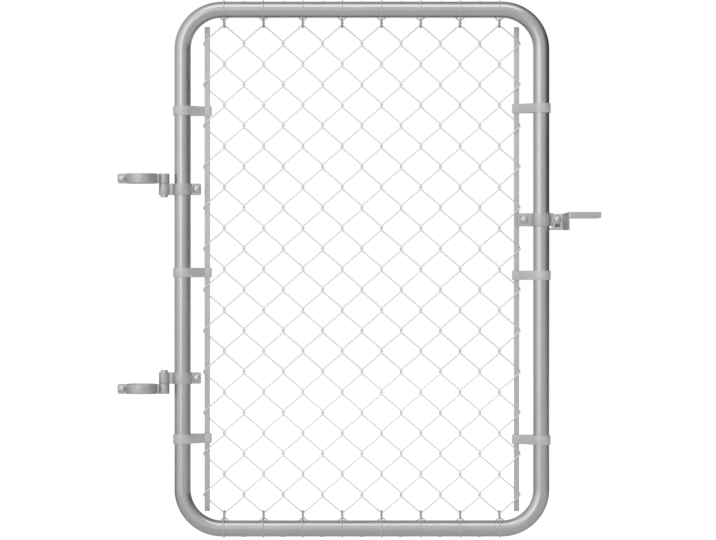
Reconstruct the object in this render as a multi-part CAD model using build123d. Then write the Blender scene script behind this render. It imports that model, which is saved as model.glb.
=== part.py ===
"""Chain link walk gate: a bent tube leaf with woven fabric, hung on two post clamps, with a fork latch.

Millimetres. +X runs from the hinge post to the latch side, +Y from the front to the fabric, +Z up.
The origin is on the hinge post's axis, at mid height of the lower post clamp.
"""
from build123d import *
from math import acos, atan2, cos, degrees, hypot, pi, radians, sin, sqrt
import os

# Fits
SEAT = 0.3                  # gap between a wrapped strap, a woven wire or a tie and what it sits on
PIN_CLEARANCE = 0.25        # radial play of a gate hinge's eye on its pin
PIN_GRIP = 0.15             # radial gap of a post hinge's eye, which is clamped on the pin
BEARING_GAP = 0.5           # between the faces of a post strap and the gate strap beside it
BOLT_CLEARANCE = 0.3        # radial play of a bolt in its hole
THROUGH = 100.0             # length of a cut that goes right through a fitting

# Leaf frame: one tube bent round into a rectangle
LEAF_WIDTH = 806.0
LEAF_HEIGHT = 1150.0
TUBE_RADIUS = 17.45
TUBE_WALL = 1.5
CORNER_RADIUS = 85.0        # of the tube's centreline
LEAF_DROP = 317.6           # from the lower post clamp's middle down to the leaf's underside

# Hinges: a strip folded round a pin, then round a tube, then into two bolted flanges
POST_RADIUS = 30.15
PIN_FROM_POST = 48.8        # between the post's axis and the pin's axis
PIN_FROM_TUBE = 39.5        # between the pin's axis and the axis of the upright that it carries
PIN_RADIUS = 7.95
PIN_PROUD = 4.8             # past the gate strap
PIN_CHAMFER = 1.2
STRAP = 3.2                 # thickness of the hinge straps
POST_STRAP_HEIGHT = 21.0
GATE_STRAP_HEIGHT = 24.4
HINGE_SPACING = 452.1       # between the two post clamps
NECK_SLIT = 1.0             # between a strap's two arms beside the pin
NECK_BEND = 3.2             # centreline radius of the bends beside the pin
FLANGE_BEND = 2.0           # centreline radius of the bends at the bolted flanges
FLANGE_GAP = 4.0            # between two bolted flanges
FLANGE_CORNER = 3.0
POST_FLANGE_REACH = 51.2    # from the post's axis
GATE_FLANGE_REACH = 39.6    # from the upright's axis

# Carriage bolts and nuts
BOLT_RADIUS = 3.95
BOLT_HEAD_RADIUS = 8.6
BOLT_HEAD_HEIGHT = 4.4
BOLT_FROM_END = 9.3         # from a flange's end to its bolt's axis
BOLT_PROUD = 3.0            # past the nut
BOLT_CHAMFER = 0.8
NUT_FLATS = 12.7
NUT_HEIGHT = 6.7
NUT_CHAMFER = 0.8

# Woven fabric, on the back of the rails
WIRE_DIAMETER = 2.9
WIRE_SIDES = 6
MESH_WIDTH = 84.8           # of one diamond, before the fabric is stretched to fit the leaf
MESH_HEIGHT = 88.5
BEND_RISE = 5.5             # height that a picket gains in one bend
KNUCKLE_FOLD = 7.0          # how far a cut end is folded over sideways
KNUCKLE_DROP = 1.6          # how far its tip comes back
CORNER_TRIM = 0.3           # share of an end picket's last strand that is cut off behind a corner

# Tension bars, and the bands that hold them to the uprights
BAR_WIDTH = 11.1
BAR_THICKNESS = 4.8
BAR_FROM_TUBE = 52.0        # between an upright's axis and its bar's middle
BAR_SHORT_OF_RAIL = 18.0
BAND_THICKNESS = 2.5
BAND_HEIGHT = 20.0
BAND_LIP = 3.6              # pinched end past the bar
BAND_BEND = 1.4             # centreline radius of the folds at the bar
BANDS = (                   # place, row of diamonds from the middle one, drop below it at left and at right
    ("lower", -4, 10.9, 13.3),
    ("middle", 0, 7.4, 13.3),
    ("upper", 4, 13.3, 7.7),
)

# Wire ties along the rails
TIE_DIAMETER = 2.4
TIE_SIDES = 6
TIE_HOOK_RADIUS = 9.6       # of the tie's centreline round a wire crossing

# Fork latch: a collar of two half straps, and a fork that pivots between its ears
LATCH_HEIGHT = 363.5        # of the collar's middle and of the pivot
COLLAR_HEIGHT = 28.0
COLLAR_STRAP = 3.2
COLLAR_FLANGE_REACH = 49.5  # from the upright's axis
COLLAR_BOLT_FROM_END = 12.5
PIVOT_FROM_TUBE = 34.4
EAR_GAP = 7.0               # between the two ears
EAR_RADIUS = 9.0
FORK_PLATE = 3.2
FORK_SIDE_GAP = 0.5         # between an ear and the fork's side plate
FORK_NOSE_RADIUS = 12.5     # of the side plates round the pivot
FORK_HEEL = 9.5             # from the pivot to the side plates' inner edge below it
FORK_CORNER = 1.5
FORK_WEB_DROP = 18.8        # from the pivot to the web's upper face
FORK_STOP_GAP = 0.4         # between the web's edge and the upright
FORK_ROOT_REACH = 24.2      # from the pivot to the web's outer edge
FORK_SHOULDER_START = 11.5
FORK_SHOULDER_BEND = 6.0    # centreline radius
FORK_PRONG_INNER = 33.0     # from the leaf's middle plane to a prong's inner face
FORK_PRONG_REACH = 92.0
FORK_PRONG_HEIGHT = 13.0
FORK_PRONG_RISE = 3.2       # prong's underside above the pivot
FORK_SLOT = (11.0, 6.4)     # width and height, through the front side plate
FORK_SLOT_DROP = 12.6       # from the pivot to the slot's middle

# Places worked out from the sizes
PIN_X = PIN_FROM_POST
LEFT_X = PIN_X + PIN_FROM_TUBE
RIGHT_X = LEFT_X + LEAF_WIDTH - 2 * TUBE_RADIUS
MIDDLE_X = (LEFT_X + RIGHT_X) / 2
BOTTOM_Z = TUBE_RADIUS - LEAF_DROP
TOP_Z = BOTTOM_Z + LEAF_HEIGHT - 2 * TUBE_RADIUS
MIDDLE_Z = (BOTTOM_Z + TOP_Z) / 2
GATE_STRAP_OFFSET = (POST_STRAP_HEIGHT + GATE_STRAP_HEIGHT) / 2 + BEARING_GAP
PIN_LENGTH = POST_STRAP_HEIGHT + BEARING_GAP + GATE_STRAP_HEIGHT + PIN_PROUD
FABRIC_LEFT = LEFT_X + BAR_FROM_TUBE - BAR_WIDTH / 2
FABRIC_WIDTH = 2 * (MIDDLE_X - FABRIC_LEFT)
DIAMONDS_ACROSS = round(FABRIC_WIDTH / MESH_WIDTH)
DIAMONDS_UP = 2 * round((LEAF_HEIGHT / MESH_HEIGHT - 1) / 2) + 1    # odd, so that one row is at mid height
DIAMOND_WIDTH = FABRIC_WIDTH / DIAMONDS_ACROSS
DIAMOND_HEIGHT = LEAF_HEIGHT / DIAMONDS_UP
WIRE_OFFSET = BAR_THICKNESS / 2 + SEAT + WIRE_DIAMETER / 2
FABRIC_Y = TUBE_RADIUS + SEAT + WIRE_DIAMETER / 2 + WIRE_OFFSET
PIVOT_X = RIGHT_X + PIVOT_FROM_TUBE


def arc_between(centre, radius, start, end):
    """An arc about a centre, from one heading in degrees to another."""
    return CenterArc(centre, radius, start, end - start)


def on_circle(radius, heading):
    """The point of a circle about the origin at a heading in degrees."""
    return radius * cos(radians(heading)), radius * sin(radians(heading))


def bend_beside(ring, bend, offset):
    """How far out the centre of the bend from a ring into a flat at an offset lies, and its heading."""
    height = bend + offset
    reach = sqrt((ring + bend) ** 2 - height ** 2)
    return reach, degrees(atan2(height, reach))


def on_edge(plan, height):
    """A strip that stands on edge over its plan, centred on z = 0."""
    return Pos(0, 0, -height / 2) * extrude(plan, amount=height, dir=(0, 0, 1))


def bolt_hole(x):
    """The cut for a bolt's shank, along Y at x."""
    return Pos(x, 0, 0) * Rot(90, 0, 0) * Cylinder(BOLT_RADIUS + BOLT_CLEARANCE, THROUGH)


def hinge_strap(ring_radius, eye_radius, spacing, flange_reach, height):
    """A strip folded round a pin at the origin, round a tube on +X, and into two bolted flanges."""
    ring = ring_radius + STRAP / 2
    eye = eye_radius + STRAP / 2
    neck = (NECK_SLIT + STRAP) / 2
    flange = (FLANGE_GAP + STRAP) / 2
    flange_end = spacing + flange_reach
    eye_reach, eye_angle = bend_beside(eye, NECK_BEND, neck)
    ring_reach, ring_angle = bend_beside(ring, NECK_BEND, neck)
    flange_bend, flange_angle = bend_beside(ring, FLANGE_BEND, flange)
    half = Curve() + [
        arc_between((0, 0), eye, 180, eye_angle),
        arc_between((eye_reach, neck + NECK_BEND), NECK_BEND, 180 + eye_angle, 270),
        Line((eye_reach, neck), (spacing - ring_reach, neck)),
        arc_between((spacing - ring_reach, neck + NECK_BEND), NECK_BEND, 270, 360 - ring_angle),
        arc_between((spacing, 0), ring, 180 - ring_angle, flange_angle),
        arc_between((spacing + flange_bend, flange + FLANGE_BEND), FLANGE_BEND, 180 + flange_angle, 270),
        Line((spacing + flange_bend, flange), (flange_end, flange)),
    ]
    plan = trace(half, line_width=STRAP)
    strap = on_edge(plan + mirror(plan, about=Plane.XZ), height)
    strap = fillet(strap.edges().filter_by(Axis.Y).group_by(Axis.X)[-1], FLANGE_CORNER)
    return strap - bolt_hole(flange_end - BOLT_FROM_END)


def carriage_bolt(grip):
    """A domed bolt along +Y, long enough for a grip and a nut, with its head's flat at y = 0."""
    crown = (BOLT_HEAD_RADIUS ** 2 + BOLT_HEAD_HEIGHT ** 2) / (2 * BOLT_HEAD_HEIGHT)
    half_way = BOLT_HEAD_RADIUS / 2
    half_way_height = BOLT_HEAD_HEIGHT - crown + sqrt(crown ** 2 - half_way ** 2)
    end = -(grip + NUT_HEIGHT + BOLT_PROUD)
    dome = ThreePointArc((0, BOLT_HEAD_HEIGHT), (half_way, half_way_height), (BOLT_HEAD_RADIUS, 0))
    shank = Polyline(
        (BOLT_HEAD_RADIUS, 0), (BOLT_RADIUS, 0), (BOLT_RADIUS, end + BOLT_CHAMFER),
        (BOLT_RADIUS - BOLT_CHAMFER, end), (0, end), (0, BOLT_HEAD_HEIGHT),
    )
    outline = make_face(Curve() + [dome, shank])
    return Rot(90, 0, 0) * revolve(Plane.XZ * outline, axis=Axis.Z)


def hexagon_nut(start):
    """A hexagon nut round a bolt along +Y, its near face at y = start."""
    upward = (Align.CENTER, Align.CENTER, Align.MIN)
    prism = extrude(RegularPolygon(NUT_FLATS / 2, 6, major_radius=False), amount=NUT_HEIGHT)
    blank = Cylinder(NUT_FLATS / sqrt(3), NUT_HEIGHT, align=upward)
    blank = chamfer(blank.edges().filter_by(GeomType.CIRCLE), NUT_CHAMFER)
    bore = Cylinder(BOLT_RADIUS + BOLT_CLEARANCE, NUT_HEIGHT, align=upward)
    return Pos(0, start + NUT_HEIGHT, 0) * Rot(90, 0, 0) * ((prism & blank) - bore)


def bolt_and_nut(x, z, half_grip):
    """The bolt and the nut that close what lies between y = -half_grip and y = half_grip."""
    bolt = Pos(x, -half_grip, z) * carriage_bolt(2 * half_grip)
    nut = Pos(x, 0, z) * hexagon_nut(half_grip)
    return bolt, nut


def hinge_pin(middle):
    """An upright pin, chamfered at both ends."""
    pin = Pos(PIN_X, 0, middle) * Cylinder(PIN_RADIUS, PIN_LENGTH)
    return chamfer(pin.edges().filter_by(GeomType.CIRCLE), PIN_CHAMFER)


def gate_frame():
    """One round tube, bent at its four corners and closed on itself."""
    outline = RectangleRounded(LEAF_WIDTH - 2 * TUBE_RADIUS, LEAF_HEIGHT - 2 * TUBE_RADIUS, CORNER_RADIUS)
    path = Pos(MIDDLE_X, 0, MIDDLE_Z) * Rot(90, 0, 0) * outline.face().outer_wire()
    rail = path.edges().sort_by(Axis.Z)[0]
    section = Plane(rail @ 0, z_dir=rail % 0) * (Circle(TUBE_RADIUS) - Circle(TUBE_RADIUS - TUBE_WALL))
    return sweep(section, path=path)


def picket_route(column):
    """The centreline of one zigzag wire, between its two knuckles or its two trimmed ends."""
    last = 2 * DIAMONDS_ACROSS - 1
    hook = (WIRE_DIAMETER + SEAT) / 2
    round_bar = WIRE_DIAMETER / 2 + SEAT
    left = FABRIC_LEFT + column * DIAMOND_WIDTH / 2 - (round_bar if column == 0 else hook)
    right = FABRIC_LEFT + (column + 1) * DIAMOND_WIDTH / 2 + (round_bar if column == last else hook)
    front = FABRIC_Y - WIRE_OFFSET
    back = FABRIC_Y + WIRE_OFFSET
    route = []
    for row in range(2 * DIAMONDS_UP + 1):
        z = MIDDLE_Z + (row - DIAMONDS_UP) * DIAMOND_HEIGHT / 2
        x, low_y, high_y = (left, back, front) if (row + column) % 2 == 0 else (right, front, back)
        route.append(Vector(x, low_y, z - BEND_RISE / 2))
        route.append(Vector(x, high_y, z + BEND_RISE / 2))
    if column in (0, last):
        first = route[1] + (route[2] - route[1]) * CORNER_TRIM
        final = route[-2] + (route[-3] - route[-2]) * CORNER_TRIM
        return [first] + route[2:-2] + [final]
    fold = KNUCKLE_FOLD if column % 2 == 0 else -KNUCKLE_FOLD
    foot = route[0] + Vector(fold, 0, KNUCKLE_DROP)
    head = route[-1] + Vector(fold, 0, -KNUCKLE_DROP)
    return [foot] + route + [head]


def straight_sided_wire(route, radius):
    """A wire of a few flat sides along straight runs, mitred where it bends."""
    run = (route[1] - route[0]).normalized()
    across = run.cross(Vector(0, 1, 0)).normalized()
    upward = run.cross(across)
    ring = []
    for side in range(WIRE_SIDES):
        angle = 2 * pi * (side + 0.5) / WIRE_SIDES
        ring.append(route[0] + across * (radius * cos(angle)) + upward * (radius * sin(angle)))
    rings = [ring]
    for index in range(1, len(route)):
        corner = route[index]
        run = (corner - route[index - 1]).normalized()
        after = (route[index + 1] - corner).normalized() if index + 1 < len(route) else run
        mitre = run + after
        ring = [point + run * ((corner - point).dot(mitre) / run.dot(mitre)) for point in ring]
        rings.append(ring)
    faces = [Face(Wire.make_polygon(rings[0])), Face(Wire.make_polygon(rings[-1]))]
    for low, high in zip(rings, rings[1:]):
        for side in range(WIRE_SIDES):
            after = (side + 1) % WIRE_SIDES
            faces.append(Face(Wire.make_polygon([low[side], low[after], high[after], high[side]])))
    return Solid(Shell(faces))


def chain_link_fabric():
    """The zigzag pickets, each a wire of its own that hooks round the next at every bend."""
    pickets = []
    for column in range(2 * DIAMONDS_ACROSS):
        pickets.append(straight_sided_wire(picket_route(column), WIRE_DIAMETER / 2))
    return Compound(children=pickets)


def tension_bar(x):
    """A flat bar threaded down the last row of diamonds."""
    length = TOP_Z - BOTTOM_Z - 2 * (TUBE_RADIUS + BAR_SHORT_OF_RAIL)
    bar = Pos(x, FABRIC_Y, MIDDLE_Z) * Box(BAR_WIDTH, BAR_THICKNESS, length)
    return fillet(bar.edges().filter_by(Axis.Z), BAR_THICKNESS / 4)


def tension_band():
    """A strap round an upright at the origin, folded shut over the bar on its +X side."""
    ring = TUBE_RADIUS + SEAT + BAND_THICKNESS / 2
    grip = BAR_THICKNESS / 2 + SEAT + BAND_THICKNESS / 2
    pinch = (BAND_THICKNESS + SEAT) / 2
    near = BAR_FROM_TUBE - BAR_WIDTH / 2 - SEAT
    far = BAR_FROM_TUBE + BAR_WIDTH / 2 + SEAT
    headings = []
    arms = []
    for side in (-1, 1):
        arm_y = FABRIC_Y + side * grip
        lip_y = FABRIC_Y + side * pinch
        heading = degrees(atan2(arm_y, near)) + side * degrees(acos(ring / hypot(near, arm_y)))
        headings.append(heading)
        arms.append(FilletPolyline(
            on_circle(ring, heading), (near, arm_y), (far, arm_y), (far + grip - pinch, lip_y),
            (far + BAND_LIP, lip_y), radius=BAND_BEND,
        ))
    wrap = arc_between((0, 0), ring, headings[1], 360 + headings[0])
    return on_edge(trace(Curve() + [wrap] + arms, line_width=BAND_THICKNESS), BAND_HEIGHT)


def rail_ties(rail_z, inward):
    """A wire tie at each crossing beside a rail: a closed loop round the rail and the crossing."""
    loop = TUBE_RADIUS + SEAT + TIE_DIAMETER / 2
    rise = DIAMOND_HEIGHT / 2 - TUBE_RADIUS
    lean = degrees(atan2(rise, FABRIC_Y))
    spread = degrees(acos((loop - TIE_HOOK_RADIUS) / hypot(FABRIC_Y, rise)))
    round_rail = arc_between((0, 0), loop, lean + spread, lean - spread + 360)
    round_crossing = arc_between((FABRIC_Y, rise), TIE_HOOK_RADIUS, lean - spread, lean + spread)
    outline = Wire([
        round_rail.edge(),
        Edge.make_line(round_rail @ 1, round_crossing @ 0),
        round_crossing.edge(),
        Edge.make_line(round_crossing @ 1, round_rail @ 0),
    ])
    ties = []
    for place in range(DIAMONDS_ACROSS):
        x = FABRIC_LEFT + (place + 0.5) * DIAMOND_WIDTH
        path = Plane(origin=(x, 0, rail_z), x_dir=(0, 1, 0), z_dir=(inward, 0, 0)) * outline
        section = Plane(path @ 0, z_dir=path % 0) * RegularPolygon(TIE_DIAMETER / 2, TIE_SIDES)
        ties.append(sweep(section, path=path).solid())
    return Compound(children=ties)


def latch_collar_half():
    """The back half of a collar round an upright at the origin: a flange on -X and an ear on +X."""
    ring = TUBE_RADIUS + SEAT + COLLAR_STRAP / 2
    flange = (FLANGE_GAP + COLLAR_STRAP) / 2
    ear = (EAR_GAP + COLLAR_STRAP) / 2
    flange_bend, flange_angle = bend_beside(ring, FLANGE_BEND, flange)
    ear_bend, ear_angle = bend_beside(ring, FLANGE_BEND, ear)
    centreline = Curve() + [
        Line((-COLLAR_FLANGE_REACH, flange), (-flange_bend, flange)),
        arc_between((-flange_bend, flange + FLANGE_BEND), FLANGE_BEND, 270, 360 - flange_angle),
        arc_between((0, 0), ring, 180 - flange_angle, ear_angle),
        arc_between((ear_bend, ear + FLANGE_BEND), FLANGE_BEND, 180 + ear_angle, 270),
        Line((ear_bend, ear), (PIVOT_FROM_TUBE + EAR_RADIUS, ear)),
    ]
    strip = on_edge(trace(centreline, line_width=COLLAR_STRAP), COLLAR_HEIGHT)
    ear_start = PIVOT_FROM_TUBE - EAR_RADIUS
    top = COLLAR_HEIGHT / 2
    side_view = make_face(Polyline(
        (-COLLAR_FLANGE_REACH, -top), (ear_start, -top), (PIVOT_FROM_TUBE, -EAR_RADIUS),
        (PIVOT_FROM_TUBE, EAR_RADIUS), (ear_start, top), (-COLLAR_FLANGE_REACH, top), close=True,
    ))
    side_view += Pos(PIVOT_FROM_TUBE, 0) * Circle(EAR_RADIUS)
    half = strip & extrude(Plane.XZ * side_view, amount=THROUGH, both=True)
    half = fillet(half.edges().filter_by(Axis.Y).group_by(Axis.X)[0], FLANGE_CORNER)
    return half - bolt_hole(COLLAR_BOLT_FROM_END - COLLAR_FLANGE_REACH) - bolt_hole(PIVOT_FROM_TUBE)


def latch_fork():
    """One pressed plate about its pivot: two side plates, a web under them, and two prongs."""
    inner = EAR_GAP / 2 + COLLAR_STRAP + FORK_SIDE_GAP
    plate_y = inner + FORK_PLATE / 2
    prong_y = FORK_PRONG_INNER + FORK_PLATE / 2
    web_bottom = -FORK_WEB_DROP - FORK_PLATE
    web_end = TUBE_RADIUS + FORK_STOP_GAP - PIVOT_FROM_TUBE
    prong_top = FORK_PRONG_RISE + FORK_PRONG_HEIGHT
    side_view = make_face(Polyline(
        (-FORK_HEEL, 0), (-FORK_HEEL, FORK_PLATE - FORK_WEB_DROP), (web_end, -FORK_WEB_DROP),
        (web_end, web_bottom), (FORK_ROOT_REACH, web_bottom), (FORK_ROOT_REACH, FORK_PRONG_RISE),
        (FORK_PRONG_REACH, FORK_PRONG_RISE), (FORK_PRONG_REACH, prong_top), (FORK_ROOT_REACH, prong_top),
        (FORK_SHOULDER_START, FORK_NOSE_RADIUS), (0, FORK_NOSE_RADIUS), close=True,
    ))
    side_view = fillet(side_view.vertices(), FORK_CORNER) + Circle(FORK_NOSE_RADIUS)
    route = FilletPolyline(
        (web_end, plate_y), (FORK_SHOULDER_START, plate_y), (FORK_ROOT_REACH, prong_y),
        (FORK_PRONG_REACH, prong_y), radius=FORK_SHOULDER_BEND,
    )
    plate = trace(route, line_width=FORK_PLATE)
    plates = extrude(plate + mirror(plate, about=Plane.XZ), amount=THROUGH, both=True)
    plates = plates & extrude(Plane.XZ * side_view, amount=THROUGH, both=True)
    web_plan = make_face(Polyline(
        (web_end, -plate_y), (FORK_SHOULDER_START, -plate_y), (FORK_ROOT_REACH, -prong_y),
        (FORK_ROOT_REACH, prong_y), (FORK_SHOULDER_START, plate_y), (web_end, plate_y), close=True,
    ))
    web = Pos(0, 0, web_bottom) * extrude(web_plan, amount=FORK_PLATE)
    slot = Pos(0, -plate_y, -FORK_SLOT_DROP) * Box(FORK_SLOT[0], plate_y, FORK_SLOT[1])
    return plates + web - bolt_hole(0) - slot


nodes = {}
nodes["gate_frame"] = gate_frame()
nodes["chain_link_fabric"] = chain_link_fabric()
nodes["left_tension_bar"] = tension_bar(LEFT_X + BAR_FROM_TUBE)
nodes["right_tension_bar"] = tension_bar(RIGHT_X - BAR_FROM_TUBE)
band = tension_band()
for place, row, left_drop, right_drop in BANDS:
    row_z = MIDDLE_Z + row * DIAMOND_HEIGHT
    nodes[f"left_{place}_tension_band"] = Pos(LEFT_X, 0, row_z - left_drop) * band
    nodes[f"right_{place}_tension_band"] = Pos(RIGHT_X, 0, row_z - right_drop) * mirror(band, about=Plane.YZ)
nodes["bottom_rail_ties"] = rail_ties(BOTTOM_Z, 1)
nodes["top_rail_ties"] = rail_ties(TOP_Z, -1)

post_eye = PIN_RADIUS + PIN_GRIP
gate_eye = PIN_RADIUS + PIN_CLEARANCE
post_strap = hinge_strap(POST_RADIUS, post_eye, PIN_FROM_POST, POST_FLANGE_REACH, POST_STRAP_HEIGHT)
gate_strap = hinge_strap(TUBE_RADIUS + SEAT, gate_eye, PIN_FROM_TUBE, GATE_FLANGE_REACH, GATE_STRAP_HEIGHT)
post_bolt_x = BOLT_FROM_END - POST_FLANGE_REACH
gate_bolt_x = LEFT_X + GATE_FLANGE_REACH - BOLT_FROM_END
hinge_grip = FLANGE_GAP / 2 + STRAP
for place, post_z, up in (("lower", 0, 1), ("upper", HINGE_SPACING, -1)):
    gate_z = post_z + up * GATE_STRAP_OFFSET
    nodes[f"{place}_post_hinge_strap"] = Pos(PIN_X, 0, post_z) * Rot(0, 0, 180) * post_strap
    nodes[f"{place}_gate_hinge_strap"] = Pos(PIN_X, 0, gate_z) * gate_strap
    nodes[f"{place}_hinge_pin"] = hinge_pin(post_z + up * (PIN_LENGTH - POST_STRAP_HEIGHT) / 2)
    for holder, bolt_x, bolt_z in (("post", post_bolt_x, post_z), ("gate", gate_bolt_x, gate_z)):
        bolt, nut = bolt_and_nut(bolt_x, bolt_z, hinge_grip)
        nodes[f"{place}_{holder}_hinge_bolt"] = bolt
        nodes[f"{place}_{holder}_hinge_nut"] = nut

collar_half = latch_collar_half()
collar_grip = FLANGE_GAP / 2 + COLLAR_STRAP
pivot_grip = EAR_GAP / 2 + COLLAR_STRAP + 2 * FORK_SIDE_GAP + FORK_PLATE
collar_bolt_x = RIGHT_X - COLLAR_FLANGE_REACH + COLLAR_BOLT_FROM_END
collar_bolt, collar_nut = bolt_and_nut(collar_bolt_x, LATCH_HEIGHT, collar_grip)
pivot_bolt, pivot_nut = bolt_and_nut(PIVOT_X, LATCH_HEIGHT, pivot_grip)
nodes["latch_collar_back"] = Pos(RIGHT_X, 0, LATCH_HEIGHT) * collar_half
nodes["latch_collar_front"] = Pos(RIGHT_X, 0, LATCH_HEIGHT) * mirror(collar_half, about=Plane.XZ)
nodes["latch_collar_bolt"] = collar_bolt
nodes["latch_collar_nut"] = collar_nut
nodes["latch_fork"] = Pos(PIVOT_X, 0, LATCH_HEIGHT) * latch_fork()
nodes["latch_pivot_bolt"] = pivot_bolt
nodes["latch_pivot_nut"] = pivot_nut

os.makedirs("parts", exist_ok=True)
for name, shape in nodes.items():
    export_step(shape, f"parts/{name}.step")
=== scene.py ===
import math

import bmesh
import bpy
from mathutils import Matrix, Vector


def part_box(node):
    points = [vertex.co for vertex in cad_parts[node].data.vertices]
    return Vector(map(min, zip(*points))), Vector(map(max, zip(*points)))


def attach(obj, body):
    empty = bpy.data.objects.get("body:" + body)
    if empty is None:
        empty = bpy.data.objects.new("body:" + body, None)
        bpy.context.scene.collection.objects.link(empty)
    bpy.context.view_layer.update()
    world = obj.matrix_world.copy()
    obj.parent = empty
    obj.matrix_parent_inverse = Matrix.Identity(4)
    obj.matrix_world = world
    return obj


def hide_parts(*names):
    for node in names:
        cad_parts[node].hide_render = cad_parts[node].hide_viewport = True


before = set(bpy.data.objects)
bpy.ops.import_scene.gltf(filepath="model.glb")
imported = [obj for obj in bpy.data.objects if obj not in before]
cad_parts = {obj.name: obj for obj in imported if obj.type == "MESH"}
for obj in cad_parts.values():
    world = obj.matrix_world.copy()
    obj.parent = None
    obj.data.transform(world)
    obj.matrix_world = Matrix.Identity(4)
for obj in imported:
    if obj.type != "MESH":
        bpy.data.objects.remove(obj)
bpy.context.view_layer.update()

# Gate frame. One steel tube, roll-formed, welded along its length and zinc coated, is bent cold at four
# corners into a rectangle, so its finish is smooth, with small crystals of zinc and a cloudy tone.
TUBE_BEND = 0.085            # radius of the tube's centreline at a corner
TUBE_SIDES = 40
TUBE_BEND_STEPS = 20
ROUND_BAR_ANGLE = math.radians(50)    # more than the turn between two sides of the thinnest wire
CLOUD_SCALE = 14.0           # clouds of tone to a metre of zinc
GRAIN_SCALE = 620.0          # pits to a metre
PIT_DEPTH = 0.0004
PIT_STRENGTH = 0.35


class Bench:
    """A node tree being wired up. Its one method adds a node, sets it and links it."""

    def __init__(self, tree):
        self.tree = tree

    def node(self, kind, settings=None, sockets=None):
        made = self.tree.nodes.new(kind)
        for key, value in (settings or {}).items():
            if key == "stops":
                ramp = made.color_ramp
                while len(ramp.elements) < len(value):
                    ramp.elements.new(0.5)
                for stop, (position, colour) in zip(ramp.elements, value):
                    stop.position = position
                    stop.color = colour
            else:
                setattr(made, key, value)
        for key, value in (sockets or {}).items():
            if isinstance(value, Reading):
                value = value.socket
            if isinstance(value, bpy.types.NodeSocket):
                self.tree.links.new(value, made.inputs[key])
            else:
                made.inputs[key].default_value = value
        return made


class Reading:
    """A number on its way through a material. Arithmetic on it adds Math nodes."""

    def __init__(self, bench, socket):
        self.bench = bench
        self.socket = socket

    def math(self, operation, first, second):
        made = self.bench.node("ShaderNodeMath", {"operation": operation}, {0: first, 1: second})
        return Reading(self.bench, made.outputs[0])

    def __add__(self, other):
        return self.math("ADD", self, other)

    def __radd__(self, other):
        return self.math("ADD", other, self)

    def __sub__(self, other):
        return self.math("SUBTRACT", self, other)

    def __rsub__(self, other):
        return self.math("SUBTRACT", other, self)

    def __mul__(self, other):
        return self.math("MULTIPLY", self, other)

    def __rmul__(self, other):
        return self.math("MULTIPLY", other, self)


def zinc_finish(name, dark, pale, roughness, crystal, spangle, pits, metal=1.0):
    """A zinc coat: crystals of one size that tell by their spangle, a cloudy tone, and fine pits."""
    material = bpy.data.materials.new(name)
    material.use_nodes = True
    bench = Bench(material.node_tree)
    shader = material.node_tree.nodes["Principled BSDF"]
    place = bench.node("ShaderNodeTexCoord").outputs["Object"]
    cells = bench.node("ShaderNodeTexVoronoi", None, {
        "Vector": place, "Scale": 1 / crystal, "Randomness": 1.0,
    })
    shade = bench.node("ShaderNodeSeparateColor", None, {0: cells.outputs["Color"]})
    crystals = Reading(bench, shade.outputs[0])
    clouds = bench.node("ShaderNodeTexNoise", None, {"Vector": place, "Scale": CLOUD_SCALE, "Detail": 5.0})
    cloud = Reading(bench, clouds.outputs["Fac"])
    grains = bench.node("ShaderNodeTexNoise", None, {"Vector": place, "Scale": GRAIN_SCALE, "Detail": 3.0})
    grain = Reading(bench, grains.outputs["Fac"])
    tone = cloud * 0.7 + (crystals - 0.5) * spangle + (grain - 0.5) * pits + 0.15
    mix = bench.node("ShaderNodeMix", {"data_type": "RGBA"}, {0: tone, 6: dark, 7: pale})
    rough = roughness + (crystals - 0.5) * spangle * 0.3 + (grain - 0.5) * pits * 0.4 + (cloud - 0.5) * 0.1
    bump = bench.node("ShaderNodeBump", None, {
        "Strength": PIT_STRENGTH, "Distance": PIT_DEPTH, "Height": grain * pits,
    })
    links = material.node_tree.links
    links.new(mix.outputs[2], shader.inputs["Base Color"])
    links.new(rough.socket, shader.inputs["Roughness"])
    links.new(bump.outputs[0], shader.inputs["Normal"])
    shader.inputs["Metallic"].default_value = metal
    return material


def path_object(name, lines, closed=False):
    """An object of plain edges, one run of points to a line, for a tree to build on."""
    points = []
    edges = []
    for line in lines:
        start = len(points)
        points += line
        edges += [(start + i, start + i + 1) for i in range(len(line) - 1)]
        if closed:
            edges.append((len(points) - 1, start))
    mesh = bpy.data.meshes.new(name)
    mesh.from_pydata(points, edges, [])
    piece = bpy.data.objects.new(name, mesh)
    bpy.context.scene.collection.objects.link(piece)
    return piece


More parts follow.
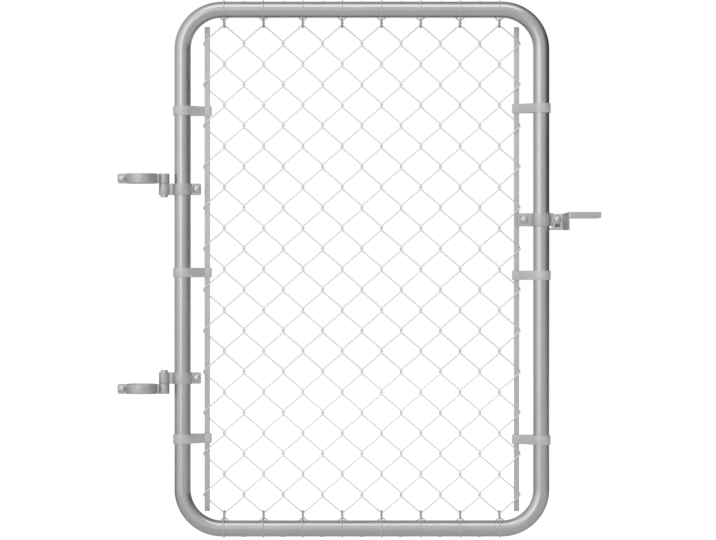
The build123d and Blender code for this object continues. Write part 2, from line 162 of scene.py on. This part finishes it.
def round_bar_tree(material):
    """A tree that turns a run of edges into round bar or tube, with bent corners."""
    tree = bpy.data.node_groups.new("round bar along a path", "GeometryNodeTree")
    face = tree.interface
    face.new_socket("Path", in_out="INPUT", socket_type="NodeSocketGeometry")
    face.new_socket("Bar radius", in_out="INPUT", socket_type="NodeSocketFloat")
    face.new_socket("Bend radius", in_out="INPUT", socket_type="NodeSocketFloat")
    face.new_socket("Bend steps", in_out="INPUT", socket_type="NodeSocketInt")
    face.new_socket("Sides", in_out="INPUT", socket_type="NodeSocketInt")
    face.new_socket("Bar", in_out="OUTPUT", socket_type="NodeSocketGeometry")
    bench = Bench(tree)
    given = bench.node("NodeGroupInput").outputs
    route = bench.node("GeometryNodeMeshToCurve", None, {"Mesh": given["Path"]})
    bent = bench.node("GeometryNodeFilletCurve", {"mode": "POLY"}, {
        "Curve": route.outputs[0], "Count": given["Bend steps"],
        "Radius": given["Bend radius"], "Limit Radius": True,
    })
    section = bench.node("GeometryNodeCurvePrimitiveCircle", None, {
        "Resolution": given["Sides"], "Radius": given["Bar radius"],
    })
    swept = bench.node("GeometryNodeCurveToMesh", None, {
        "Curve": bent.outputs[0], "Profile Curve": section.outputs["Curve"], "Fill Caps": True,
    })
    real = bench.node("GeometryNodeRealizeInstances", None, {0: swept.outputs[0]})
    coated = bench.node("GeometryNodeSetMaterial", None, {
        "Geometry": real.outputs[0], "Material": material,
    })
    bench.node("NodeGroupOutput", None, {0: coated.outputs[0]})
    return tree


def grow(piece, tree, **sizes):
    """Runs a tree on an object with its named sizes, and keeps the result as a plain smooth mesh."""
    modifier = piece.modifiers.new("grow", "NODES")
    modifier.node_group = tree
    for item in tree.interface.items_tree:
        key = item.name.lower().replace(" ", "_")
        if key in sizes:
            modifier[item.identifier] = sizes[key]
    depsgraph = bpy.context.evaluated_depsgraph_get()
    mesh = bpy.data.meshes.new_from_object(piece.evaluated_get(depsgraph))
    piece.modifiers.remove(modifier)
    piece.data = mesh
    smooth(piece, ROUND_BAR_ANGLE)


def smooth(piece, angle):
    """Shades a piece smooth, apart from edges sharper than the angle."""
    mesh = piece.data
    mesh.polygons.foreach_set("use_smooth", [True] * len(mesh.polygons))
    mesh.set_sharp_from_angle(angle=angle)


def settle(piece, body, slot, *nodes):
    """Fixes a finished piece to its body and hides the frame nodes that it stands for. The slot is not
    used.
    """
    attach(piece, body)
    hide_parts(*nodes)


frame_low, frame_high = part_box("gate_frame")
TUBE_RADIUS = (frame_high[1] - frame_low[1]) / 2
LEFT_X = frame_low[0] + TUBE_RADIUS
RIGHT_X = frame_high[0] - TUBE_RADIUS
BOTTOM_Z = frame_low[2] + TUBE_RADIUS
TOP_Z = frame_high[2] - TUBE_RADIUS

tube_zinc = zinc_finish(
    "galvanized_tube", (0.46, 0.465, 0.475, 1), (0.6, 0.605, 0.615, 1), 0.31, 0.006, spangle=0.15, pits=0.1
)
gate_frame = path_object("bent_tube_frame", [[
    (RIGHT_X, 0, BOTTOM_Z), (RIGHT_X, 0, TOP_Z), (LEFT_X, 0, TOP_Z), (LEFT_X, 0, BOTTOM_Z),
]], closed=True)
grow(gate_frame, round_bar_tree(tube_zinc), bar_radius=TUBE_RADIUS, bend_radius=TUBE_BEND,
     bend_steps=TUBE_BEND_STEPS, sides=TUBE_SIDES)
settle(gate_frame, "gate_leaf", "galvanized_tube", "gate_frame")


# Chain link fabric. Steel wire coated with zinc is wound into flat zigzag pickets, and each picket is
# turned into the one before, so that every bend hooks round its neighbour; the cut ends are knuckled over.
WIRE_RADIUS = 0.00145
WIRE_SIDES = 9
WIRE_BEND = 0.0042
WIRE_BEND_STEPS = 4
WEAVE_SEAT = 0.0003
DIAMONDS_WIDE = 8
DIAMONDS_HIGH = 13
BEND_RISE = 0.0055           # height that a picket gains in one bend
KNUCKLE_FOLD = 0.007         # how far a cut end is folded over sideways
KNUCKLE_DROP = 0.0016        # how far its tip comes back
CORNER_TRIM = 0.3            # share of an end picket's last strand that is cut off behind a corner

bar_low, bar_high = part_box("left_tension_bar")
FABRIC_Y = (bar_low[1] + bar_high[1]) / 2
FABRIC_LEFT = bar_low[0]
FABRIC_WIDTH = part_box("right_tension_bar")[1][0] - FABRIC_LEFT
WIRE_OFFSET = (bar_high[1] - bar_low[1]) / 2 + WEAVE_SEAT + WIRE_RADIUS


def picket(column):
    """One zigzag wire between its two knuckles, or cut back behind the frame's corners at either side."""
    pitch = FABRIC_WIDTH / DIAMONDS_WIDE
    last = 2 * DIAMONDS_WIDE - 1
    hook = WIRE_RADIUS + WEAVE_SEAT / 2
    round_bar = WIRE_RADIUS + WEAVE_SEAT
    left = FABRIC_LEFT + column * pitch / 2 - (round_bar if column == 0 else hook)
    right = FABRIC_LEFT + (column + 1) * pitch / 2 + (round_bar if column == last else hook)
    step = (frame_high[2] - frame_low[2]) / (2 * DIAMONDS_HIGH)
    front = FABRIC_Y - WIRE_OFFSET
    back = FABRIC_Y + WIRE_OFFSET
    route = []
    for row in range(2 * DIAMONDS_HIGH + 1):
        z = frame_low[2] + row * step
        x, low_y, high_y = (left, back, front) if (row + column) % 2 == 0 else (right, front, back)
        route.append(Vector((x, low_y, z - BEND_RISE / 2)))
        route.append(Vector((x, high_y, z + BEND_RISE / 2)))
    if column in (0, last):
        foot = route[1].lerp(route[2], CORNER_TRIM)
        head = route[-2].lerp(route[-3], CORNER_TRIM)
        return [foot] + route[2:-2] + [head]
    fold = KNUCKLE_FOLD if column % 2 == 0 else -KNUCKLE_FOLD
    foot = route[0] + Vector((fold, 0, KNUCKLE_DROP))
    head = route[-1] + Vector((fold, 0, -KNUCKLE_DROP))
    return [foot] + route + [head]


wire_coat = zinc_finish(
    "fabric_wire", (0.82, 0.825, 0.83, 1), (0.9, 0.905, 0.91, 1), 0.5, 0.004,
    spangle=0.1, pits=0.05, metal=0.3,
)
fabric = path_object("woven_fabric", [picket(column) for column in range(2 * DIAMONDS_WIDE)])
grow(fabric, round_bar_tree(wire_coat), bar_radius=WIRE_RADIUS, bend_radius=WIRE_BEND,
     bend_steps=WIRE_BEND_STEPS, sides=WIRE_SIDES)
settle(fabric, "gate_leaf", "fabric_wire", "chain_link_fabric")


# Wire ties. Each is a length of soft aluminium wire, passed round the rail and the crossing beside it by
# hand, with its two ends laid side by side behind the fabric.
TIE_RADIUS = 0.0012
TIE_SIDES = 10
TIE_OVERLAP = math.radians(50)
TIE_LEAD = 0.0013            # half of the sideways step between a tie's two ends
TIE_HOOK = 0.0096            # of the wire's centreline round a crossing
TIE_ARC_STEPS = 18

tie_metal = zinc_finish(
    "tie_wire", (0.62, 0.625, 0.63, 1), (0.76, 0.765, 0.77, 1), 0.42, 0.004, spangle=0.1, pits=0.1
)


def tie_loop(x, rail_z, inward):
    """One tie's wire: round the rail, round the crossing, and past its own start."""
    pitch = (frame_high[2] - frame_low[2]) / DIAMONDS_HIGH
    rise = pitch / 2 - TUBE_RADIUS
    loop = TUBE_RADIUS + WEAVE_SEAT + TIE_RADIUS
    spacing = math.hypot(FABRIC_Y, rise)
    lean = math.atan2(rise, FABRIC_Y)
    spread = math.acos((loop - TIE_HOOK) / spacing)
    turns = []
    for step in range(TIE_ARC_STEPS + 1):
        angle = lean - TIE_OVERLAP + (spread + TIE_OVERLAP) * step / TIE_ARC_STEPS
        turns.append((FABRIC_Y + TIE_HOOK * math.cos(angle), rise + TIE_HOOK * math.sin(angle)))
    for step in range(2 * TIE_ARC_STEPS + 1):
        angle = lean + spread + (2 * math.pi - 2 * spread) * step / (2 * TIE_ARC_STEPS)
        turns.append((loop * math.cos(angle), loop * math.sin(angle)))
    for step in range(TIE_ARC_STEPS + 1):
        angle = lean - spread + (spread + TIE_OVERLAP) * step / TIE_ARC_STEPS
        turns.append((FABRIC_Y + TIE_HOOK * math.cos(angle), rise + TIE_HOOK * math.sin(angle)))
    count = len(turns) - 1
    return [
        (x + TIE_LEAD * (2 * i / count - 1), y, rail_z + inward * z) for i, (y, z) in enumerate(turns)
    ]


for node, rail_z, inward in (("bottom_rail_ties", BOTTOM_Z, 1), ("top_rail_ties", TOP_Z, -1)):
    loops = []
    for place in range(DIAMONDS_WIDE):
        x = FABRIC_LEFT + (place + 0.5) * FABRIC_WIDTH / DIAMONDS_WIDE
        loops.append(tie_loop(x, rail_z, inward))
    ties = path_object(node + "_wire", loops)
    grow(ties, round_bar_tree(tie_metal), bar_radius=TIE_RADIUS, bend_radius=0.0, bend_steps=1,
         sides=TIE_SIDES)
    settle(ties, "gate_leaf", "tie_wire", node)


# Tension bars and bands. The bars are flat galvanized steel; the bands are strip, rolled round the upright
# and pressed shut over the bar, with their sheared edges knocked round.
BAR_EDGE = 0.0007
BAND_EDGE = 0.0006
BEVEL_STEPS = 3
BEVEL_ANGLE = math.radians(40)        # an edge that turns more than this is rounded
FLAT_ANGLE = math.radians(1)          # faces that turn less than this become one
PRESSED_ANGLE = math.radians(35)      # an edge that turns more than this is shaded sharp

flat_zinc = zinc_finish(
    "galvanized_flat", (0.48, 0.485, 0.495, 1), (0.64, 0.645, 0.65, 1), 0.44, 0.007,
    spangle=0.25, pits=0.15, metal=0.4,
)


def rounded_copy(node, name, edge, material):
    """A copy of a frame node, merged into one skin, with its sharp edges rounded."""
    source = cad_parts[node]
    mesh = source.data.copy()
    piece = bpy.data.objects.new(name, mesh)
    bpy.context.scene.collection.objects.link(piece)
    skin = bmesh.new()
    skin.from_mesh(mesh)
    bmesh.ops.remove_doubles(skin, verts=skin.verts, dist=1e-6)
    bmesh.ops.dissolve_limit(skin, angle_limit=FLAT_ANGLE, verts=skin.verts, edges=skin.edges)
    skin.to_mesh(mesh)
    skin.free()
    bevel = piece.modifiers.new("bevel", "BEVEL")
    bevel.width = edge
    bevel.segments = BEVEL_STEPS
    bevel.limit_method = "ANGLE"
    bevel.angle_limit = BEVEL_ANGLE
    bevel.use_clamp_overlap = True
    depsgraph = bpy.context.evaluated_depsgraph_get()
    finished = bpy.data.meshes.new_from_object(piece.evaluated_get(depsgraph))
    piece.modifiers.remove(bevel)
    piece.data = finished
    finished.materials.clear()
    finished.materials.append(material)
    smooth(piece, PRESSED_ANGLE)
    return piece


for side in ("left", "right"):
    bar = rounded_copy(f"{side}_tension_bar", f"{side}_flat_bar", BAR_EDGE, flat_zinc)
    settle(bar, "gate_leaf", "galvanized_flat", f"{side}_tension_bar")
    for place in ("lower", "middle", "upper"):
        node = f"{side}_{place}_tension_band"
        band = rounded_copy(node, f"{side}_{place}_band", BAND_EDGE, flat_zinc)
        settle(band, "gate_leaf", "galvanized_flat", node)


# Hinge straps, latch collar and fork. All are pressed from thick strip and hot dipped after forming, so
# their corners are soft and the coat is heavier and duller than the tube's.
FITTING_EDGE = 0.0007

fitting_zinc = zinc_finish(
    "galvanized_fitting", (0.42, 0.425, 0.43, 1), (0.6, 0.605, 0.61, 1), 0.44, 0.005,
    spangle=0.25, pits=0.25, metal=0.75,
)
for place in ("lower", "upper"):
    for holder, body in (("post", "post_hinges"), ("gate", "gate_leaf")):
        node = f"{place}_{holder}_hinge_strap"
        strap = rounded_copy(node, f"{place}_{holder}_strap", FITTING_EDGE, fitting_zinc)
        settle(strap, body, "galvanized_fitting", node)
for side in ("front", "back"):
    node = f"latch_collar_{side}"
    collar = rounded_copy(node, f"collar_{side}_half", FITTING_EDGE, fitting_zinc)
    settle(collar, "gate_leaf", "galvanized_fitting", node)
fork = rounded_copy("latch_fork", "pressed_fork", FITTING_EDGE, fitting_zinc)
settle(fork, "fork", "galvanized_fitting", "latch_fork")


# Hinge pins, carriage bolts and nuts. These are bought parts, turned or cold headed from bar and zinc
# plated, so they are brighter and bluer than the dipped steel; a bolt's thread shows past its nut.
LATHE_SIDES = 40
LATHE_ANGLE = math.radians(28)        # an edge that turns more than this is shaded sharp
HEAD_HEIGHT = 0.0044
HEAD_STEPS = 12
HEAD_RIM = 0.0004            # height of the head's edge
HEAD_EASE = 0.0003           # of that edge, underneath
SHANK_RADIUS = 0.00395
THREAD_PITCH = 0.00141
THREAD_DEPTH = 0.0006
NUT_BORE = 0.0040
NUT_FACE = 0.95              # washer face's radius as a share of half the width over flats
NUT_CHAMFER = math.radians(30)
PIN_CHAMFER = 0.0012

plated = zinc_finish(
    "zinc_hardware", (0.56, 0.57, 0.59, 1), (0.7, 0.71, 0.73, 1), 0.4, 0.003, spangle=0.05, pits=0.06
)


def turned(name, outline, base, along, material, radius_at=None):
    """A closed body of revolution from an outline of radius and height, along +Y or +Z from a base.

    With radius_at, which may move a point of the outline at each angle, the outline closes on itself.
    """
    rows = []
    body = bmesh.new()
    for index, (radius, height) in enumerate(outline):
        row = []
        for side in range(LATHE_SIDES if radius > 0 else 1):
            angle = 2 * math.pi * side / LATHE_SIDES
            reach = radius if radius_at is None else radius_at(index, radius, angle)
            lift = height
            if isinstance(reach, tuple):
                reach, lift = reach
            a = reach * math.cos(angle)
            b = reach * math.sin(angle)
            place = (a, lift, b) if along == "Y" else (a, b, lift)
            row.append(body.verts.new([base[i] + place[i] for i in range(3)]))
        rows.append(row)
    for low, high in zip(rows, rows[1:] + ([] if radius_at is None else rows[:1])):
        for side in range(LATHE_SIDES):
            after = (side + 1) % LATHE_SIDES
            ring = [
                low[side % len(low)], low[after % len(low)],
                high[after % len(high)], high[side % len(high)],
            ]
            body.faces.new(list(dict.fromkeys(ring)))
    bmesh.ops.recalc_face_normals(body, faces=body.faces)
    if body.calc_volume(signed=True) < 0:
        bmesh.ops.reverse_faces(body, faces=body.faces)
    mesh = bpy.data.meshes.new(name)
    body.to_mesh(mesh)
    body.free()
    mesh.materials.append(material)
    piece = bpy.data.objects.new(name, mesh)
    bpy.context.scene.collection.objects.link(piece)
    smooth(piece, LATHE_ANGLE)
    return piece


def bolt_outline(head_radius, length, grip):
    """A carriage bolt from the middle of its domed head to the end of its thread."""
    crown = (head_radius ** 2 + HEAD_HEIGHT ** 2) / (2 * HEAD_HEIGHT)
    outline = [(0, 0)]
    for step in range(1, HEAD_STEPS + 1):
        radius = head_radius * math.sin(step / HEAD_STEPS * math.pi / 2)
        outline.append((radius, crown - math.sqrt(max(crown ** 2 - radius ** 2, 0))))
    outline[-1] = (head_radius, HEAD_HEIGHT - HEAD_RIM)
    outline.append((head_radius - HEAD_EASE, HEAD_HEIGHT))
    outline.append((SHANK_RADIUS, HEAD_HEIGHT))
    height = HEAD_HEIGHT + grip
    outline.append((SHANK_RADIUS, height))
    while height < length - 1.2 * THREAD_PITCH:
        outline.append((SHANK_RADIUS - THREAD_DEPTH, height + THREAD_PITCH * 0.5))
        outline.append((SHANK_RADIUS, height + THREAD_PITCH))
        height += THREAD_PITCH
    outline.append((SHANK_RADIUS - THREAD_DEPTH, length))
    outline.append((0, length))
    return outline


def nut_outline(flats, height):
    """A hexagon nut's section, and the rule that gives its flats and chamfered corners."""
    half = flats / 2
    face = half * NUT_FACE

    def reach(index, radius, angle):
        if index not in (2, 3):
            return radius
        sixth = math.pi / 3
        corner = half / math.cos(angle % sixth - sixth / 2)
        chamfer = (corner - face) * math.tan(NUT_CHAMFER)
        return corner, chamfer if index == 2 else height - chamfer

    outline = [(NUT_BORE, 0), (face, 0), (half, 0), (half, height), (face, height), (NUT_BORE, height)]
    return outline, reach


def middle_of(node):
    """The middle of a node's box, and its two corners."""
    low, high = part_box(node)
    return [(low[i] + high[i]) / 2 for i in range(3)], low, high


fasteners = [
    (f"{place}_{holder}_hinge", body)
    for place in ("lower", "upper") for holder, body in (("post", "post_hinges"), ("gate", "gate_leaf"))
]
fasteners += [("latch_collar", "gate_leaf"), ("latch_pivot", "gate_leaf")]
for name, body in fasteners:
    middle, low, high = middle_of(f"{name}_bolt")
    nut_middle, nut_low, nut_high = middle_of(f"{name}_nut")
    grip = nut_low[1] - low[1] - HEAD_HEIGHT
    outline = bolt_outline((high[0] - low[0]) / 2, high[1] - low[1], grip)
    bolt = turned(f"{name}_carriage_bolt", outline, (middle[0], low[1], middle[2]), "Y", plated)
    settle(bolt, body, "zinc_hardware", f"{name}_bolt")
    outline, reach = nut_outline(nut_high[2] - nut_low[2], nut_high[1] - nut_low[1])
    nut = turned(f"{name}_hex_nut", outline, (nut_middle[0], nut_low[1], nut_middle[2]), "Y", plated, reach)
    settle(nut, body, "zinc_hardware", f"{name}_nut")

for place in ("lower", "upper"):
    middle, low, high = middle_of(f"{place}_hinge_pin")
    radius = (high[0] - low[0]) / 2
    length = high[2] - low[2]
    outline = [
        (0, 0), (radius - PIN_CHAMFER, 0), (radius, PIN_CHAMFER),
        (radius, length - PIN_CHAMFER), (radius - PIN_CHAMFER, length), (0, length),
    ]
    pin = turned(f"{place}_round_pin", outline, (middle[0], middle[1], low[2]), "Z", plated)
    settle(pin, "post_hinges", "zinc_hardware", f"{place}_hinge_pin")


# Studio. A plain white floor and a white surround, with a softbox at the left for the uprights and one
# above for the rails; the camera looks straight at the gate through a long lens.
PHOTO_WIDTH = 716
PHOTO_HEIGHT = 540
MM_PER_PIXEL = 2.15
ORIGIN_PIXEL = (141.5, 388.8)
LENS = 150.0
SENSOR = 36.0
FLOOR_BELOW = 0.05
FLOOR_REACH = 12.0

view_x = (PHOTO_WIDTH / 2 - ORIGIN_PIXEL[0]) * MM_PER_PIXEL / 1000
view_z = (ORIGIN_PIXEL[1] - PHOTO_HEIGHT / 2) * MM_PER_PIXEL / 1000
distance = PHOTO_WIDTH * MM_PER_PIXEL / 1000 * LENS / SENSOR
camera = bpy.data.objects.new("camera", bpy.data.cameras.new("camera"))
camera.data.lens = LENS
camera.data.sensor_width = SENSOR
camera.data.clip_end = 100
camera.location = (view_x, -distance, view_z)
camera.rotation_euler = (math.pi / 2, 0, 0)
bpy.context.scene.collection.objects.link(camera)
bpy.context.scene.camera = camera


def softbox(name, direction, reach, width, height, power):
    """A rectangular lamp that faces the gate's middle from a direction."""
    lamp = bpy.data.lights.new(name, "AREA")
    lamp.shape = "RECTANGLE"
    lamp.size = width
    lamp.size_y = height
    lamp.energy = power
    holder = bpy.data.objects.new(name, lamp)
    way = Vector(direction).normalized()
    holder.location = Vector((view_x, 0, view_z)) + way * reach
    holder.rotation_euler = way.to_track_quat("Z", "Y").to_euler()
    bpy.context.scene.collection.objects.link(holder)


softbox("left_softbox", (-0.44, -0.9, 0.1), reach=4.0, width=2.0, height=3.4, power=15)
softbox("top_softbox", (0.0, -0.5, 0.86), reach=3.6, width=3.4, height=1.5, power=18)

# The camera sees the floor white. A shiny surface sees it pale in front of the gate, dark just behind it,
# and pale again further back.
floor_mesh = bpy.data.meshes.new("floor")
level = frame_low[2] - FLOOR_BELOW
floor_mesh.from_pydata([
    (-FLOOR_REACH, -FLOOR_REACH, level), (FLOOR_REACH, -FLOOR_REACH, level),
    (FLOOR_REACH, FLOOR_REACH, level), (-FLOOR_REACH, FLOOR_REACH, level),
], [], [(0, 1, 2, 3)])
floor = bpy.data.objects.new("floor", floor_mesh)
bpy.context.scene.collection.objects.link(floor)
floor_paint = bpy.data.materials.new("floor_paint")
floor_paint.use_nodes = True
bench = Bench(floor_paint.node_tree)
floor_paint.node_tree.nodes.remove(floor_paint.node_tree.nodes["Principled BSDF"])
light_path = bench.node("ShaderNodeLightPath").outputs
seen = Reading(bench, light_path["Is Camera Ray"])
mirrored = Reading(bench, light_path["Is Glossy Ray"])
matt = bench.node("ShaderNodeBsdfDiffuse", None, {"Color": (0.86, 0.86, 0.86, 1)})
ground = bench.node("ShaderNodeTexCoord").outputs["Object"]
behind = bench.node("ShaderNodeSeparateXYZ", None, {0: ground}).outputs[1]
near_glow = bench.node("ShaderNodeMapRange", None, {
    "Value": behind, "From Min": -0.1, "From Max": 0.5, "To Min": 0.68, "To Max": 0.1,
})
far_glow = bench.node("ShaderNodeMapRange", None, {
    "Value": behind, "From Min": 0.7, "From Max": 1.6, "To Min": 0.0, "To Max": 0.5,
})
mirror_glow = Reading(bench, near_glow.outputs[0]) + Reading(bench, far_glow.outputs[0])
strength = seen * 1.1 + mirrored * mirror_glow
glow = bench.node("ShaderNodeEmission", None, {"Color": (1, 1, 1, 1), "Strength": strength})
paint = bench.node("ShaderNodeMixShader", None, {
    0: seen + mirrored, 1: matt.outputs[0], 2: glow.outputs[0],
})
floor_out = floor_paint.node_tree.nodes["Material Output"]
floor_paint.node_tree.links.new(paint.outputs[0], floor_out.inputs["Surface"])
floor_mesh.materials.append(floor_paint)

# The camera sees a white room. A shiny surface sees it light in front of the gate and at the left, darker
# at the right and behind, darkest in the far corner at the right, and light again straight behind.
world = bpy.data.worlds.new("studio")
world.use_nodes = True
bpy.context.scene.world = world
bench = Bench(world.node_tree)
light_path = bench.node("ShaderNodeLightPath").outputs
heading = bench.node("ShaderNodeTexCoord").outputs["Generated"]
axes = bench.node("ShaderNodeSeparateXYZ", None, {0: heading})
depth = Reading(bench, axes.outputs[1]) * 0.5 + 0.5
side = Reading(bench, axes.outputs[0])
surround = bench.node("ShaderNodeValToRGB", {"stops": [
    (0.0, (0.86, 0.86, 0.86, 1)), (0.35, (0.78, 0.78, 0.78, 1)), (0.52, (0.5, 0.5, 0.5, 1)),
    (0.66, (0.46, 0.46, 0.46, 1)), (0.9, (0.46, 0.46, 0.46, 1)), (0.98, (0.84, 0.84, 0.84, 1)),
]}, {0: depth})
wings = bench.node("ShaderNodeValToRGB", {"stops": [
    (0.0, (1, 1, 1, 1)), (0.5, (0.68, 0.68, 0.68, 1)), (0.85, (0.52, 0.52, 0.52, 1)),
    (0.93, (0.34, 0.34, 0.34, 1)), (1.0, (0.05, 0.05, 0.05, 1)),
]}, {0: side * 0.5 + 0.5})
far = bench.node("ShaderNodeMapRange", None, {"Value": depth, "From Min": 0.6, "From Max": 0.78})
right = bench.node("ShaderNodeMapRange", None, {"Value": side, "From Min": -0.05, "From Max": 0.3})
corner = Reading(bench, far.outputs[0]) * Reading(bench, right.outputs[0])
lit = Reading(bench, surround.outputs[0]) * Reading(bench, wings.outputs[0]) * (1.4 - corner * 1.25)
glossy = bench.node("ShaderNodeMix", {"data_type": "RGBA"}, {
    0: light_path["Is Glossy Ray"], 6: (0.8, 0.8, 0.8, 1), 7: lit,
})
shown = bench.node("ShaderNodeMix", {"data_type": "RGBA"}, {
    0: light_path["Is Camera Ray"], 6: glossy.outputs[2], 7: (1, 1, 1, 1),
})
background = world.node_tree.nodes["Background"]
world.node_tree.links.new(shown.outputs[2], background.inputs["Color"])
bpy.context.scene.view_settings.view_transform = "Standard"
